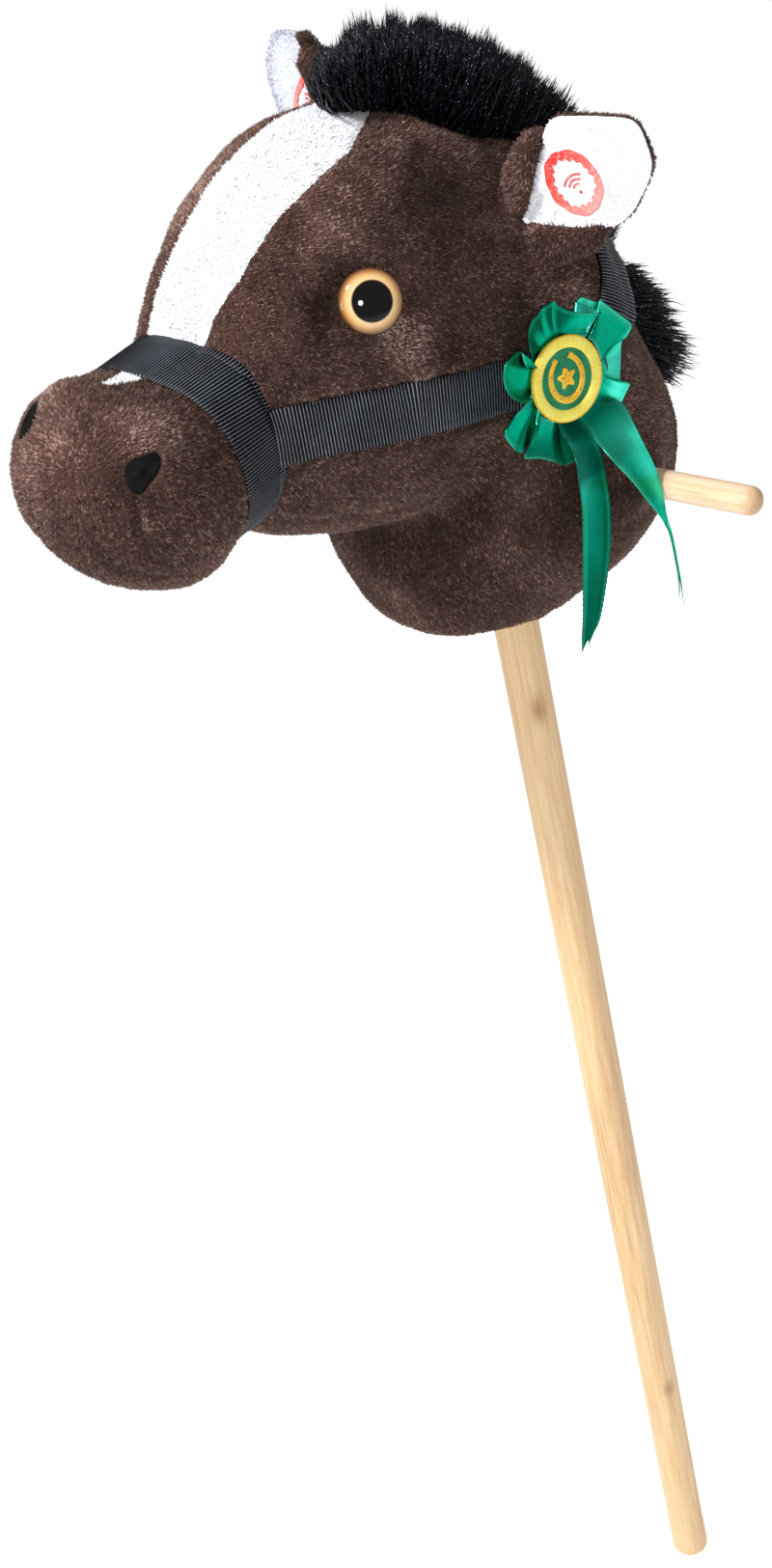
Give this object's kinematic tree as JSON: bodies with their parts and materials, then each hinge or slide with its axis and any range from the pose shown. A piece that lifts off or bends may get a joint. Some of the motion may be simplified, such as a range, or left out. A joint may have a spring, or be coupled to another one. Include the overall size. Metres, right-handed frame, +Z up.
{
  "type": "hobby horse",
  "caption": "Stick horse: a stuffed plush pony head with bridle, ribbon rosette and fringe mane on a round wooden stick, a wooden handle bar across the neck and a push button in each ear.",
  "frame": {"origin": "centre of the flat foot of the stick", "axes": "+Z up along the stick, the horse looks along -Y, +X is the horse's left side with the rosette"},
  "size_m": [0.2966, 0.3425, 1.0142],
  "materials": {
    "wood": "lightly sanded, unvarnished",
    "brown_plush": "short plush pile",
    "white_plush": "short plush pile",
    "fibre_fill": "loose polyester fibre",
    "black_felt": "matt felt",
    "clear_dome": "polished clear plastic",
    "amber_iris": "painted behind the dome",
    "white_plastic": "moulded",
    "black_webbing": "ribbed grosgrain",
    "red_plastic": "moulded",
    "steel": "bright",
    "brass": "bright",
    "circuit_board": "solder mask",
    "black_fur": "long straight pile",
    "green_satin": "satin",
    "badge_embroidery": "satin-stitched thread"
  },
  "bodies": {
    "root": {"stick": "wood", "handle_bar": "wood", "muzzle_panel": "brown_plush", "face_panel_left": "brown_plush", "face_panel_right": "brown_plush", "chin_gusset": "brown_plush", "neck_panel_left": "brown_plush", "neck_panel_right": "brown_plush", "neck_base_panel": "brown_plush", "ear_shell_left": "brown_plush", "ear_shell_right": "brown_plush", "forehead_blaze_panel": "white_plush", "ear_lining_left": "white_plush", "ear_lining_right": "white_plush", "stuffing": "fibre_fill", "nostril_patch_left": "black_felt", "eye_dome_left": "clear_dome", "eye_disc_left": "amber_iris", "eye_washer_left": "white_plastic", "cheek_strap_left": "black_webbing", "left_ear_voice_case_front": "white_plastic", "left_ear_voice_case_back": "white_plastic", "left_ear_voice_spring": "steel", "left_ear_voice_board": "circuit_board", "left_ear_voice_speaker": "brass", "left_ear_voice_cell_a": "steel", "left_ear_voice_cell_b": "steel", "left_ear_voice_cell_c": "steel", "nostril_patch_right": "black_felt", "eye_dome_right": "clear_dome", "eye_disc_right": "amber_iris", "eye_washer_right": "white_plastic", "cheek_strap_right": "black_webbing", "right_ear_voice_case_front": "white_plastic", "right_ear_voice_case_back": "white_plastic", "right_ear_voice_spring": "steel", "right_ear_voice_board": "circuit_board", "right_ear_voice_speaker": "brass", "right_ear_voice_cell_a": "steel", "right_ear_voice_cell_b": "steel", "right_ear_voice_cell_c": "steel", "noseband": "black_webbing", "crown_strap": "black_webbing", "mane_front": "black_fur", "mane_back": "black_fur", "rosette_backing": "black_felt", "rosette_petals": "green_satin", "rosette_tail_front": "green_satin", "rosette_tail_rear": "green_satin", "rosette_badge": "badge_embroidery", "neck_tie": "white_plastic"},
    "left_ear_button_body": {"left_ear_button": "red_plastic"},
    "right_ear_button_body": {"right_ear_button": "red_plastic"}
  },
  "joints": [
    {"name": "left_ear_button_press", "type": "slide", "parent": "root", "child": "left_ear_button_body", "axis": [-0.4623, 0.8695, -0.1736], "range_m": [0, 0.0015], "stiffness_N_per_m": 500, "springref_m": -0.001, "deforming": ["left_ear_voice_spring"]},
    {"name": "right_ear_button_press", "type": "slide", "parent": "root", "child": "right_ear_button_body", "axis": [0.1649, 0.9638, -0.2097], "range_m": [0, 0.0015], "stiffness_N_per_m": 500, "springref_m": -0.001, "deforming": ["right_ear_voice_spring"]}
  ]
}
